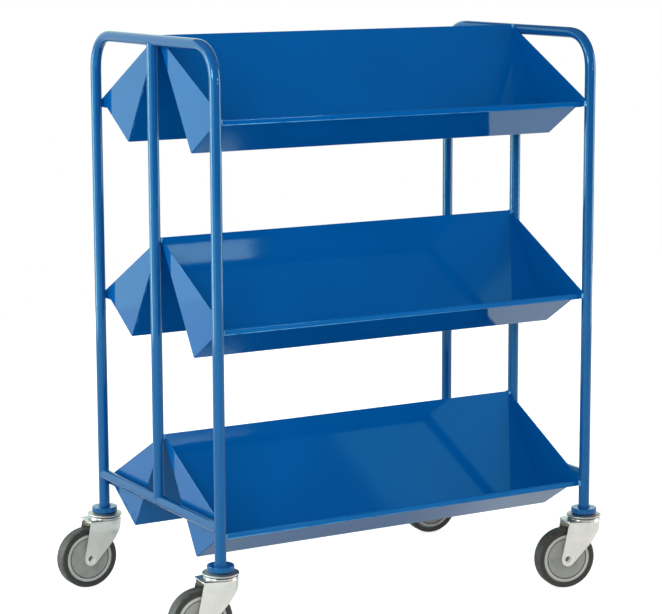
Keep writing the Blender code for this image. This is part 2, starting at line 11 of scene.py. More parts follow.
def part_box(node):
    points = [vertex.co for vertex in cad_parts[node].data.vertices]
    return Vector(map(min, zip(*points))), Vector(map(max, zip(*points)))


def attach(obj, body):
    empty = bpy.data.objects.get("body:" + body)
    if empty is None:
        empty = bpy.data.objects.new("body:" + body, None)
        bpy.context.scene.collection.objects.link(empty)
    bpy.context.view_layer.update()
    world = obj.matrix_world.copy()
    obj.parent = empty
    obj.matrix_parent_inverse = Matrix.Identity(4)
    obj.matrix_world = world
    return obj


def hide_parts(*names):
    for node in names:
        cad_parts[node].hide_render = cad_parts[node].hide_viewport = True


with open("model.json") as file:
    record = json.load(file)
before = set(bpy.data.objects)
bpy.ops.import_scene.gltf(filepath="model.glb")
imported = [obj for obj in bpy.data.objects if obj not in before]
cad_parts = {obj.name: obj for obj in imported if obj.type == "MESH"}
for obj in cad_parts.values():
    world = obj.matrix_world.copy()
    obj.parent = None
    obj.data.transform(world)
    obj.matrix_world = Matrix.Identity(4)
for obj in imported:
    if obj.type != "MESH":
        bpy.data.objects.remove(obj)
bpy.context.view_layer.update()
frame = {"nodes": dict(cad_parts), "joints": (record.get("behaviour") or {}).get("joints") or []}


# End hoops. Each is one length of 22 mm steel tube bent to an inverted U, so that it is both legs
# and the push bar of its end. It is welded to the rest of the frame and powder coated blue with it.
class Wire:
    """A shader socket: maths on it adds Math nodes, and add() adds any other node."""

    def __init__(self, tree, socket=None):
        self.tree = tree
        self.socket = socket

    def add(self, kind, settings, inputs, output=0):
        """A node of any kind: its settings first, then the values or wires of its sockets."""
        node = self.tree.nodes.new(kind)
        for name, value in settings.items():
            setattr(node, name, value)
        for name, value in inputs.items():
            if isinstance(value, Wire):
                self.tree.links.new(value.socket, node.inputs[name])
            else:
                node.inputs[name].default_value = value
        return Wire(self.tree, node.outputs[output])

    def maths(self, operation, first, second):
        return self.add("ShaderNodeMath", {"operation": operation}, {0: first, 1: second})

    def __add__(self, other):
        return self.maths("ADD", self, other)

    def __radd__(self, other):
        return self.maths("ADD", other, self)

    def __sub__(self, other):
        return self.maths("SUBTRACT", self, other)

    def __rsub__(self, other):
        return self.maths("SUBTRACT", other, self)

    def __mul__(self, other):
        return self.maths("MULTIPLY", self, other)

    def __rmul__(self, other):
        return self.maths("MULTIPLY", other, self)

    def noise(self, scale, detail=2.0):
        """Noise of so many cells to the metre at this place."""
        return self.add("ShaderNodeTexNoise", {}, {"Vector": self, "Scale": scale, "Detail": detail})

    def stretched(self, x, y, z):
        """This place with its axes scaled."""
        return self.add("ShaderNodeMapping", {}, {"Vector": self, "Scale": (x, y, z)})

    def between(self, low, high):
        """0 up to low, 1 from high, and a smooth rise between them."""
        smooth = {"interpolation_type": "SMOOTHSTEP"}
        return self.add("ShaderNodeMapRange", smooth, {0: self, 1: low, 2: high})

    def mix(self, first, second):
        """The first of two colour sockets where this value is 0, going to the second where it is 1."""
        return self.add("ShaderNodeMix", {"data_type": "RGBA"}, {0: self, 6: first, 7: second}, 2)

    def blend(self, first, second):
        """The same between two plain colours."""
        return self.mix((*first, 1), (*second, 1))

    def bump(self, depth, below=None):
        """A normal for this height, a depth in metres from 0 to 1, laid over another if one is given."""
        inputs = {"Height": self, "Distance": depth}
        if below:
            inputs["Normal"] = below
        return self.add("ShaderNodeBump", {}, inputs)

    def into(self, node, name):
        self.tree.links.new(self.socket, node.inputs[name])


def new_finish(name):
    """A material, its Principled shader, and the object coordinates to pattern it with."""
    material = bpy.data.materials.new(name)
    material.use_nodes = True
    tree = material.node_tree
    place = Wire(tree).add("ShaderNodeTexCoord", {}, {}, "Object")
    return material, tree.nodes["Principled BSDF"], place


def eased(corners, radii, steps, guard):
    """A path through plane corners, each rounded to its radius; a radius of 0 leaves it sharp.
    A guard point either side of each arc keeps the shading of the flats beside it flat."""
    path = []
    for index, radius in enumerate(radii):
        here = Vector(corners[index])
        if not radius:
            path.append(here)
            continue
        into = (here - Vector(corners[index - 1])).normalized()
        out = (Vector(corners[(index + 1) % len(corners)]) - here).normalized()
        bend = math.atan2(into.x * out.y - into.y * out.x, into.dot(out))
        start = here - into * radius * math.tan(abs(bend) / 2)
        centre = start + Vector((-into.y, into.x)) * math.copysign(radius, bend)
        path.append(start - into * guard)
        for step in range(steps + 1):
            turn = bend * step / steps
            spoke = start - centre
            path.append(centre + Vector((spoke.x * math.cos(turn) - spoke.y * math.sin(turn),
                                         spoke.x * math.sin(turn) + spoke.y * math.cos(turn))))
        path.append(path[-1] + out * guard)
    return path


def relaxed(path, spacing, reach):
    """A path cut to even steps, each point the mean of those within its reach, so that the straights
    run gently into the bends."""
    even = [path[0]]
    for start, end in zip(path, path[1:]):
        count = max(round((end - start).length / spacing), 1)
        even += [start.lerp(end, (step + 1) / count) for step in range(count)]
    gentle = list(even)
    for index in range(reach, len(even) - reach):
        near = even[index - reach:index + reach + 1]
        gentle[index] = sum(near, Vector((0, 0))) / len(near)
    return gentle


def finished_mesh(bm, name):
    """A bmesh as a mesh with its faces out, smooth but for its sharp edges."""
    same_point = 1e-7
    no_length = 1e-8
    sharp_angle = math.radians(35)
    bmesh.ops.remove_doubles(bm, verts=bm.verts, dist=same_point)
    bmesh.ops.dissolve_degenerate(bm, dist=no_length, edges=bm.edges)
    bmesh.ops.recalc_face_normals(bm, faces=bm.faces)
    mesh = bpy.data.meshes.new(name)
    bm.to_mesh(mesh)
    bm.free()
    mesh.shade_smooth()
    mesh.set_sharp_from_angle(angle=sharp_angle)
    return mesh


def show(name, mesh, material, body, slot, *nodes):
    """Shows a mesh as a piece that rides on a body, with the given material, and stands for CAD nodes; the
    slot argument is not used.
    """
    mesh.materials.clear()
    mesh.materials.append(material)
    shown = bpy.data.objects.new(name, mesh)
    bpy.context.scene.collection.objects.link(shown)
    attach(shown, body)
    if nodes:
        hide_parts(*nodes)


def tube(name, path, radius, sides):
    """A round bar along a path in a plane of constant X."""
    bm = bmesh.new()
    rings = []
    side = Vector((1, 0, 0))
    for index, point in enumerate(path):
        before = path[max(index - 1, 0)]
        after = path[min(index + 1, len(path) - 1)]
        normal = (after - before).normalized().cross(side)
        ring = []
        for step in range(sides):
            turn = math.tau * step / sides
            ring.append(bm.verts.new(point + radius * (math.cos(turn) * side + math.sin(turn) * normal)))
        rings.append(ring)
    for near, far in zip(rings, rings[1:]):
        for step in range(sides):
            bm.faces.new((near[step - 1], near[step], far[step], far[step - 1]))
    bm.faces.new(rings[0])
    bm.faces.new(rings[-1])
    return finished_mesh(bm, name)


def powder_coat(name, deep, pale, gloss_red, wave):
    """Glossy blue powder coat between two tones, with a faint peel over the waves of what it covers;
    where the mesh's attribute marks it, a painted highlight in pale blue is mixed into its colour."""
    highlight_tone = (0.10, 0.33, 0.62, 1)
    peel_depth = 0.000003
    material, shader, at = new_finish(name)
    cloud = at.noise(5.0, 4.0)
    speck = at.noise(1500.0, 1.0)
    scuff = at.stretched(1.0, 1.0, 5.0).noise(60.0, 5.0).between(0.62, 0.74)
    tone = (speck * 0.35 + cloud * 0.65).between(0.25, 0.75).blend(deep, pale)
    # Painted highlight: a pale blue, broken by noise, mixed in where the mesh's attribute asks for it.
    painted_highlight = at.add("ShaderNodeAttribute", {"attribute_name": "painted_highlight"}, {}, "Fac")
    highlight_share = painted_highlight * at.noise(40.0, 3.0).between(0.2, 0.6)
    highlight_share.mix(tone, highlight_tone).into(shader, "Base Color")
    (cloud * 0.04 + scuff * 0.05 + 0.04).into(shader, "Roughness")
    waves = at.noise(7.0, 1.0).bump(wave)
    at.noise(620.0, 1.0).bump(peel_depth, waves).into(shader, "Normal")
    shader.inputs["IOR"].default_value = 1.52
    shader.inputs["Specular Tint"].default_value = (gloss_red, 0.95, 1.0, 1.0)
    return material


tube_coat = powder_coat("tube_coat", deep=(0.004, 0.070, 0.232), pale=(0.005, 0.080, 0.266),
                        gloss_red=0.4, wave=0.00001)

hoop_low, hoop_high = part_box("end_hoop_left")
tube_radius = (hoop_high.x - hoop_low.x) / 2
leg_y = hoop_high.y - tube_radius
leg_foot = hoop_low.z
bar_z = hoop_high.z - tube_radius
tube_sides = 40
hoop_bend = 0.0638
hoop_bend_steps = 18
hoop_step = 0.0055
hoop_ease = 3
hoop_corners = [(-leg_y, leg_foot), (-leg_y, bar_z), (leg_y, bar_z), (leg_y, leg_foot)]
hoop_line = eased(hoop_corners, [0, hoop_bend, hoop_bend, 0], hoop_bend_steps, hoop_step)
hoop_line = relaxed(hoop_line, hoop_step, hoop_ease)
leg_x = {}
for end in ("left", "right"):
    low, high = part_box(f"end_hoop_{end}")
    leg_x[end] = (low.x + high.x) / 2
    hoop_path = [Vector((leg_x[end], point.x, point.y)) for point in hoop_line]
    hoop = tube(f"hoop_{end}", hoop_path, tube_radius, tube_sides)
    show(f"hoop_{end}", hoop, tube_coat, "frame", "blue_powder_coat", f"end_hoop_{end}")

# Lower rails and centre posts. Straight lengths of the same tube, their ends coped round the tubes
# they meet and welded: the rail joins a hoop's legs, and the post stands on it up to the top bar.
rail_low, rail_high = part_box("lower_rail_left")
rail_z = (rail_low.z + rail_high.z) / 2
for end, x in leg_x.items():
    rail_line = [Vector((x, -leg_y, rail_z)), Vector((x, leg_y, rail_z))]
    rail = tube(f"rail_{end}", rail_line, tube_radius, tube_sides)
    show(f"rail_{end}", rail, tube_coat, "frame", "blue_powder_coat", f"lower_rail_{end}")
    post_line = [Vector((x, 0, rail_z)), Vector((x, 0, bar_z))]
    post = tube(f"post_{end}", post_line, tube_radius, tube_sides)
    show(f"post_{end}", post, tube_coat, "frame", "blue_powder_coat", f"centre_post_{end}")


# Troughs. Each is one 1.2 mm steel sheet folded to a V with a lip turned down along its front and
# hemmed underneath; two stand back to back on every tier and are coated with the frame.
def bent_sheet(name, path, thickness, stations, kept):
    """A folded sheet: a section path of (distance, height) carried along X through the stations.
    kept(row, column) says which of its cells are there."""
    bm = bmesh.new()
    corners = {}

    def corner(side, row, column):
        key = (side, row, column)
        if key not in corners:
            along = path[min(row + 1, len(path) - 1)] - path[max(row - 1, 0)]
            normal = Vector((-along.y, along.x)).normalized()
            point = path[row] + normal * side * thickness / 2
            corners[key] = bm.verts.new((stations[column], -point.x, point.y))
        return corners[key]

    cells = []
    for row in range(len(path) - 1):
        for column in range(len(stations) - 1):
            if kept(row, column):
                cells.append((row, column))
    for row, column in cells:
        around = [(row, column), (row + 1, column), (row + 1, column + 1), (row, column + 1)]
        beyond = [(row, column - 1), (row + 1, column), (row, column + 1), (row - 1, column)]
        for side in (-1, 1):
            bm.faces.new([corner(side, *place) for place in around])
        for index, neighbour in enumerate(beyond):
            if neighbour not in cells:
                first = around[index]
                second = around[(index + 1) % 4]
                bm.faces.new((corner(1, *first), corner(1, *second), corner(-1, *second), corner(-1, *first)))
    return finished_mesh(bm, name)


def softened(mesh, width):
    """The mesh with its cut edges rounded off and its large faces dead flat."""
    cut_angle = math.radians(60)
    sharp_angle = math.radians(40)
    large_area = 0.001
    work = bpy.data.objects.new("softened", mesh)
    bpy.context.scene.collection.objects.link(work)
    bevel = work.modifiers.new("edge", "BEVEL")
    bevel.width = width
    bevel.segments = 2
    bevel.limit_method = "ANGLE"
    bevel.angle_limit = cut_angle
    bpy.context.view_layer.update()
    result = bpy.data.meshes.new_from_object(work.evaluated_get(bpy.context.evaluated_depsgraph_get()))
    bpy.data.objects.remove(work)
    result.shade_smooth()
    result.set_sharp_from_angle(angle=sharp_angle)
    for polygon in result.polygons:
        polygon.use_smooth = polygon.area < large_area
    return result


sheet_coat = powder_coat("sheet_coat", deep=(0.0001, 0.079, 0.296), pale=(0.0002, 0.092, 0.340),
                         gloss_red=0.18, wave=0.00003)

tiers = ("bottom", "middle", "top")
faces = {"front": Matrix(), "rear": Matrix.Rotation(math.pi, 4, "Z")}
sheet = 0.0012
base_tilt = math.radians(32.3)
back_length = 0.2553
fold_radius = 0.0024
lip_radius = 0.0018
lip_notch = 0.0008
lip_depth = 0.0122
hem_gap = 0.0016
hem_rise = 0.007
hem_radius = hem_gap / 2 - 1e-6
highlight_band = 0.0002
bend_steps = 8
bend_guard = 0.0008
edge_round = 0.0003
into_plate = 0.0004
tray_low, tray_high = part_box("tray_bottom_front")
tray_middle = (tray_low.x + tray_high.x) / 2
half_length = (tray_high.x - tray_low.x) / 2 + into_plate
lip_distance = -tray_low.y - sheet / 2
back_slope = Vector((-math.sin(base_tilt), math.cos(base_tilt)))
ridge = Vector((-tray_high.y + sheet / 2 * back_slope.y,
                tray_high.z - tray_low.z - sheet / 2 * -back_slope.x))
fold = ridge - back_slope * back_length
lip_top = Vector((lip_distance, fold.y + (lip_distance - fold.x) * math.tan(base_tilt)))
hem_foot = lip_top.y - lip_depth + sheet / 2
section = eased(
    [ridge, fold, lip_top, (lip_distance, hem_foot), (lip_distance - hem_gap, hem_foot),
     (lip_distance - hem_gap, hem_foot + hem_rise)],
    [0, fold_radius, lip_radius, hem_radius, hem_radius, 0], bend_steps, bend_guard)
points_of_bend = bend_steps + 3
lip_row = 2 * points_of_bend
stations = [-half_length, lip_notch - half_length, 0.0, half_length - lip_notch, half_length]


def in_blank(row, column):
    """The lip and its hem are notched back at both ends of the sheet."""
    return row < lip_row or 0 < column < len(stations) - 2


tray = softened(bent_sheet("trough", section, sheet, stations, in_blank), edge_round)
# Painted highlight: the lowest strip of each lip's hem is marked for a pale blue, strongest at the left end
# and fading to the right, standing for a glint along that edge.
painted_highlight = tray.attributes.new("painted_highlight", "FLOAT", "POINT")
for index, vertex in enumerate(tray.vertices):
    at_lip = vertex.co.y < -lip_distance + hem_gap / 2
    at_foot = vertex.co.z < hem_foot + hem_gap / 2 + highlight_band
    painted_highlight.data[index].value = at_lip * at_foot * (half_length - vertex.co.x) / (2 * half_length)
tier_z = {}
for tier in tiers:
    low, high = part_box(f"tray_{tier}_front")
    tier_z[tier] = low.z
    for side, turn in faces.items():
        placed = tray.copy()
        placed.transform(Matrix.Translation((tray_middle, 0, low.z)) @ turn)
        show(f"trough_{tier}_{side}", placed, sheet_coat, "frame", "blue_powder_coat", f"tray_{tier}_{side}")

# End plates. Three-cornered 1.5 mm sheets welded over the ends of each trough; their blunt tips run
# out past the lip to the legs, and their top corners to the centre post.
tip_short_of_leg = 0.0015
tip_above_lip = 0.0055
tip_depth = 0.0168
peak_off_middle = 0.0008
peak_above_ridge = 0.0003
plate_rounds = [0.0006, 0.003, 0.004, 0.0015, 0.0015]
plate_round_steps = 5
plate_guard = 0.0004
tip_reach = leg_y - tip_short_of_leg
tip_top = lip_top.y + tip_above_lip
tip_start = fold.x + (tip_top - tip_depth) / math.tan(base_tilt)
plate_corners = [(peak_off_middle, ridge.y + peak_above_ridge), (fold.x, 0.0),
                 (tip_start, tip_top - tip_depth), (tip_reach, tip_top - tip_depth), (tip_reach, tip_top)]
plate_outline = eased(plate_corners, plate_rounds, plate_round_steps, plate_guard)
plate_low, plate_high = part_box("end_plate_bottom_front_left")
plate_thickness = plate_high.x - plate_low.x
plate_bm = bmesh.new()
rims = []
for x in (-plate_thickness / 2, plate_thickness / 2):
    rims.append([plate_bm.verts.new((x, -point.x, point.y)) for point in plate_outline])
    plate_bm.faces.new(rims[-1])
for index in range(len(plate_outline)):
    plate_bm.faces.new((rims[0][index - 1], rims[0][index], rims[1][index], rims[1][index - 1]))
plate = softened(finished_mesh(plate_bm, "end_plate"), edge_round)
for tier in tiers:
    for side, turn in faces.items():
        for end in leg_x:
            node = f"end_plate_{tier}_{side}_{end}"
            low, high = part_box(node)
            placed = plate.copy()
            placed.transform(Matrix.Translation(((low.x + high.x) / 2, 0, tier_z[tier])) @ turn)
            show(f"plate_{tier}_{side}_{end}", placed, sheet_coat, "frame", "blue_powder_coat", node)


# Welds. Arc-welded fillets with a ripple for each step of the torch: round the coped tubes and the
# collars, short runs where the plates meet legs and posts, and tacks under the trough seams. They are
# coated with the frame, and the runs at the plates' tips and peaks carry a painted highlight in pale blue.
def bead_tree():
    """Geometry Nodes that lay beads along edges: spacing, size, flatness and unevenness are inputs."""
    tree = bpy.data.node_groups.new("beads", "GeometryNodeTree")
    sockets = tree.interface
    sockets.new_socket("Geometry", in_out="OUTPUT", socket_type="NodeSocketGeometry")
    sockets.new_socket("Geometry", in_out="INPUT", socket_type="NodeSocketGeometry")
    for name in ("Spacing", "Bead Radius", "Flatness", "Unevenness"):
        sockets.new_socket(name, in_out="INPUT", socket_type="NodeSocketFloat")
    sockets.new_socket("Seed", in_out="INPUT", socket_type="NodeSocketInt")
    sockets.new_socket("Material", in_out="INPUT", socket_type="NodeSocketMaterial")
    wire = Wire(tree)
    given = tree.nodes.new("NodeGroupInput").outputs

    def asked(name):
        return Wire(tree, given[name])

    line = wire.add("GeometryNodeMeshToCurve", {}, {"Mesh": asked("Geometry")})
    line = wire.add("GeometryNodeResampleCurve", {"mode": "LENGTH"},
                    {"Curve": line, "Length": asked("Spacing")})
    tangent = wire.add("GeometryNodeInputTangent", {}, {})
    turn = wire.add("FunctionNodeAlignRotationToVector", {"axis": "X"}, {"Vector": tangent})
    vary = wire.add("FunctionNodeRandomValue", {"data_type": "FLOAT"}, {"Seed": asked("Seed")}, 1)
    size = asked("Bead Radius") * (1.0 + (vary - 0.5) * asked("Unevenness"))
    scale = wire.add("ShaderNodeCombineXYZ", {}, {0: size * asked("Flatness"), 1: size, 2: size})
    ball = wire.add("GeometryNodeMeshIcoSphere", {}, {"Radius": 1.0, "Subdivisions": 2})
    beads = wire.add("GeometryNodeInstanceOnPoints", {},
                     {"Points": line, "Instance": ball, "Rotation": turn, "Scale": scale})
    beads = wire.add("GeometryNodeRealizeInstances", {}, {"Geometry": beads})
    beads = wire.add("GeometryNodeSetShadeSmooth", {}, {0: beads})
    beads = wire.add("GeometryNodeSetMaterial", {}, {"Geometry": beads, "Material": asked("Material")})
    beads.into(tree.nodes.new("NodeGroupOutput"), "Geometry")
    return tree


def beaded(name, lines, material, **inputs):
    """One mesh of beads along polylines; each line is a list of points."""
    mesh = bpy.data.meshes.new(name)
    points = []
    edges = []
    for line in lines:
        first = len(points)
        points += line
        edges += [(index, index + 1) for index in range(first, len(points) - 1)]
    mesh.from_pydata(points, edges, [])
    work = bpy.data.objects.new(name, mesh)
    bpy.context.scene.collection.objects.link(work)
    modifier = work.modifiers.new("beads", "NODES")
    modifier.node_group = bead_nodes
    inputs["Material"] = material
    for socket in bead_nodes.interface.items_tree:
        if socket.name in inputs:
            modifier[socket.identifier] = inputs[socket.name]
    bpy.context.view_layer.update()
    result = bpy.data.meshes.new_from_object(work.evaluated_get(bpy.context.evaluated_depsgraph_get()))
    work.modifiers.remove(modifier)
    bpy.data.objects.remove(work)
    return result


bead_nodes = bead_tree()
ring_steps = 48
saddle_start = 0.3
foot_rise = 0.0002
weld_past_tube = 0.0004
weld_offset = 0.0022
tip_weld_foot = 0.003
tip_weld_head = 0.007
post_weld_foot = 0.020
post_weld_head = 0.004
peak_weld_foot = 0.006
peak_weld_head = 0.0015
tack_places = (0.2, 0.5, 0.8)
tack_share = 0.05
tack_drop = 0.0014
fillets = []
foot_welds = []
tip_welds = []
runs = []
for end, x in leg_x.items():
    into = 1 if end == "left" else -1
    for half in (0.0, math.pi):
        saddle = []
        foot_ring = []
        for step in range(ring_steps + 1):
            turn = half + math.pi * step / ring_steps
            across = tube_radius * math.cos(turn)
            up = tube_radius * math.sin(turn)
            foot_ring.append((across, up))
            if abs(up) > tube_radius * saddle_start:
                saddle.append((across, up, abs(up)))
        for y_side in (-1, 1):
            fillets.append([(x + a, y_side * (leg_y - c), rail_z + b) for a, b, c in saddle])
            foot_welds.append([(x + a, y_side * leg_y + b, leg_foot + foot_rise) for a, b in foot_ring])
        fillets.append([(x + a, b, rail_z + c) for a, b, c in saddle])
        fillets.append([(x + a, b, bar_z - c) for a, b, c in saddle])
    for tier in tiers:
        plate_x = x + into * (tube_radius + weld_past_tube)
        for y_side in (-1, 1):
            tip_y = y_side * (tip_reach + weld_offset)
            tip_z = tier_z[tier] + tip_top
            tip_welds.append([(plate_x, tip_y, tip_z - tip_depth + tip_weld_foot),
                              (plate_x, tip_y, tip_z - tip_weld_head)])
            post_y = y_side * weld_offset
            ridge_z = tier_z[tier] + ridge.y
            runs.append([(plate_x, post_y, ridge_z - post_weld_foot),
                         (plate_x, post_y, ridge_z - post_weld_head)])
            tip_welds.append([(plate_x, post_y * 2, ridge_z - peak_weld_foot),
                              (plate_x, post_y * 2, ridge_z - peak_weld_head)])
            for share in tack_places:
                seam = ridge.lerp(fold, share)
                next_seam = ridge.lerp(fold, share + tack_share)
                seam_x = plate_x + into * weld_offset
                under = back_slope.x * sheet
                runs.append([
                    (seam_x, y_side * (seam.x + under), seam.y + tier_z[tier] - tack_drop),
                    (seam_x, y_side * (next_seam.x + under), next_seam.y + tier_z[tier] - tack_drop)])
fillet_mesh = beaded("weld_fillets", fillets, tube_coat, **{
    "Spacing": 0.0008, "Bead Radius": 0.0013, "Flatness": 0.9, "Unevenness": 0.2, "Seed": 4})
show("weld_fillets", fillet_mesh, tube_coat, "frame", "blue_powder_coat")
foot_mesh = beaded("weld_feet", foot_welds, tube_coat, **{
    "Spacing": 0.0014, "Bead Radius": 0.0019, "Flatness": 0.8, "Unevenness": 0.4, "Seed": 6})
show("weld_feet", foot_mesh, tube_coat, "frame", "blue_powder_coat")
tip_mesh = beaded("weld_tips", tip_welds, tube_coat, **{
    "Spacing": 0.0022, "Bead Radius": 0.0031, "Flatness": 0.8, "Unevenness": 0.5, "Seed": 3})
# Painted highlight: every bead at the tips and peaks is marked for the pale blue, standing for the glints on
# them.
tip_highlight = tip_mesh.attributes.new("painted_highlight", "FLOAT", "POINT")
tip_highlight.data.foreach_set("value", [1.0] * len(tip_mesh.vertices))
show("weld_tips", tip_mesh, tube_coat, "frame", "blue_powder_coat")
run_mesh = beaded("weld_runs", runs, sheet_coat, **{
    "Spacing": 0.0016, "Bead Radius": 0.0013, "Flatness": 0.8, "Unevenness": 0.3, "Seed": 9})
show("weld_runs", run_mesh, sheet_coat, "frame", "blue_powder_coat")


# Leg collars. Turned steel discs welded under the legs, with a threaded spigot inside the tube that
# takes the castor's bolt; coated with the frame.
def lathe(name, profile, sides):
    """A closed (radius, along) profile spun round Z; each point keeps its radius as an attribute."""
    bm = bmesh.new()
    kept_radius = bm.verts.layers.float.new("radius")
    rings = []
    for radius, along in profile:
        ring = []
        for step in range(sides):
            turn = math.tau * step / sides
            point = bm.verts.new((radius * math.cos(turn), radius * math.sin(turn), along))
            point[kept_radius] = radius
            ring.append(point)
        rings.append(ring)
    for near, far in zip(rings, rings[1:] + rings[:1]):
        for step in range(sides):
            bm.faces.new((near[step - 1], near[step], far[step], far[step - 1]))
    return finished_mesh(bm, name)


corners = ("left_front", "left_rear", "right_front", "right_rear")
joints = {joint["name"]: joint for joint in frame["joints"]}
leg_stand = {}
for corner in corners:
    king = joints[f"swivel_{corner}"]["pos_m"]
    leg_stand[corner] = Matrix.Translation((king[0], king[1], 0))
collar_low, collar_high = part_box("leg_collar_left_front")
collar_radius = (collar_high.x - collar_low.x) / 2
collar_foot = collar_low.z
collar_below_leg = 0.0003
collar_bore = 0.006
collar_face = leg_foot - collar_below_leg
collar_corners = [(collar_bore, collar_foot), (collar_radius, collar_foot),
                  (collar_radius, collar_face), (collar_bore, collar_face)]
collar_rounds = [0, 0.0008, 0.0014, 0]
collar_sides = 72
turned_steps = 5
collar_guard = 0.0004
collar = lathe("collar", eased(collar_corners, collar_rounds, turned_steps, collar_guard), collar_sides)
for corner in corners:
    placed = collar.copy()
    placed.transform(leg_stand[corner])
    show(f"collar_{corner}", placed, tube_coat, "frame", "blue_powder_coat", f"leg_collar_{corner}")

# Castor heads. Pressed and zinc-plated steel caps over the balls, with a rolled rim and a hollow
# king pin riveted over below; a hexagon bolt goes up through each into the collar. The plating is
# bright on upright faces and duller on the caps; above the forks' crown height it is a darker grey, a painted
# shade on their flat tops.
shaded_top_low = 0.1408
shaded_top_high = 0.1424
zinc, zinc_shader, zinc_at = new_finish("zinc_plate")
zinc_cloud = zinc_at.noise(55.0, 4.0)
zinc_grain = zinc_at.stretched(1.0, 1.0, 0.12).noise(900.0, 3.0)
zinc_spot = zinc_at.noise(330.0, 2.0).between(0.60, 0.75)
zinc_tone = (zinc_cloud * 0.7 + zinc_grain * 0.3).between(0.25, 0.75)
zinc_height = zinc_at.add("ShaderNodeSeparateXYZ", {}, {0: zinc_at}, "Z")
bright_grey = zinc_tone.blend((0.755, 0.755, 0.70), (0.865, 0.86, 0.80))
# Painted shade: zinc above the crown's height is mixed to a darker grey, so the flat tops of the forks look
# shaded.
shaded_grey = zinc_tone.blend((0.36, 0.365, 0.35), (0.50, 0.50, 0.475))
shaded_top_share = zinc_height.between(shaded_top_low, shaded_top_high)
shaded_top_share.mix(bright_grey, shaded_grey).into(zinc_shader, "Base Color")
(zinc_cloud * 0.10 + zinc_spot * 0.05 + 0.26).into(zinc_shader, "Roughness")
zinc_grain.bump(0.000006, zinc_cloud.bump(0.00001)).into(zinc_shader, "Normal")
zinc_shader.inputs["Metallic"].default_value = 1.0

cap, cap_shader, cap_at = new_finish("cap_zinc")
cap_cloud = cap_at.noise(60.0, 4.0)
cap_turning = cap_at.stretched(1.0, 1.0, 8.0).noise(300.0, 3.0)
cap_tone = cap_cloud * 0.6 + cap_turning * 0.4
cap_tone.blend((0.40, 0.405, 0.39), (0.60, 0.60, 0.565)).into(cap_shader, "Base Color")
(cap_cloud * 0.12 + 0.36).into(cap_shader, "Roughness")
cap_turning.bump(0.000008).into(cap_shader, "Normal")
cap_shader.inputs["Metallic"].default_value = 1.0

head_radius = 0.0351
pin_bore = 0.0063
pin_radius = 0.0105
pin_flange = 0.016
pin_foot = 0.1368
head_top = 0.1547
head_corners = [(pin_bore, pin_foot), (pin_flange, pin_foot), (pin_flange, 0.1398), (pin_radius, 0.1398),
                (pin_radius, 0.1498), (0.0310, 0.1498), (0.0318, 0.1475), (head_radius, 0.1475),
                (head_radius, 0.1516), (0.0334, 0.1516), (0.0326, 0.1512), (0.0270, 0.1534),
                (0.0225, head_top), (pin_bore, head_top)]
head_rounds = [0, 0.0006, 0.0006, 0.0005, 0.0005, 0.0004, 0.0004, 0.0014, 0.0011, 0.0004, 0.0006, 0.004,
               0.004, 0]
head_sides = 72
head_guard = 0.00008
head = lathe("castor_head", eased(head_corners, head_rounds, turned_steps, head_guard), head_sides)
for corner in corners:
    placed = head.copy()
    placed.transform(leg_stand[corner])
    show(f"head_{corner}", placed, cap, "frame", "zinc_plate", f"castor_head_{corner}")
    frame["nodes"][f"castor_bolt_{corner}"].data.materials[0] = zinc

# Ball races. Loose hardened steel balls lie in a ring between the head and the fork's seat, which roll
# on them when the castor swivels; nothing fixes them but the two pressings.
ball_radius = 0.0023
ball_circle = 0.027
ball_count = 34
ball_z = 0.1472
race_steps = 120
race = []
for step in range(race_steps + 1):
    turn = math.tau * step / race_steps
    race.append((ball_circle * math.cos(turn), ball_circle * math.sin(turn), ball_z))
balls = beaded("balls", [race], zinc, **{
    "Spacing": math.tau * ball_circle / ball_count, "Bead Radius": ball_radius, "Flatness": 1.0,
    "Unevenness": 0.0, "Seed": 1})
castor_stand = {}
for corner in corners:
    axle_line = Vector(joints[f"roll_{corner}"]["axis"])
    up = Vector((0, 0, 1))
    turn = Matrix((axle_line.cross(up), axle_line, up)).transposed().to_4x4()
    castor_stand[corner] = leg_stand[corner] @ turn
    placed = balls.copy()
    placed.transform(castor_stand[corner])
    show(f"balls_{corner}", placed, zinc, f"castor_{corner}", "zinc_plate", f"ball_race_{corner}")

# Forks. One zinc-plated pressing each: a round crown that carries the ball seat, drawn in at the
# shoulders to two flat cheeks, with a short tab at the back and the axle's eyes at the foot.
fork_sheet = 0.0025
crown_z = 0.1426
crown_edge = 0.0024
nose_reach = 0.0335
cheek_y = 0.0225
tail_x = -0.045
tail_slope = 0.2222
shoulder_z = 0.1118
nose_foot_z = 0.1208
nose_ease = 0.011
neck_x = -0.0415
neck_radius = 0.0035
end_radius = 0.0145
axle_place = Vector((-0.043, 0.0625))
eye_radius = 0.0077
eye_reach = 0.03
eye_sides = 48
tab_corner = 0.003
fork_columns = 64
crown_rings = (0.0, 0.5, 0.97)
edge_steps = 6
nose_steps = 8
cheek_steps = 34
end_steps = 10
fork_sharp_angle = math.radians(45)


def tangent(outside, side):
    """Where a line from a point outside touches the round end of the cheek."""
    reach = outside - axle_place
    turn = math.atan2(reach.y, reach.x) + side * math.acos(end_radius / reach.length)
    return axle_place + end_radius * Vector((math.cos(turn), math.sin(turn)))


neck = Vector((neck_x, crown_z - crown_edge))
nose_foot = Vector((nose_reach, nose_foot_z))
rear_touch = tangent(neck, 1)
front_touch = tangent(nose_foot, -1)


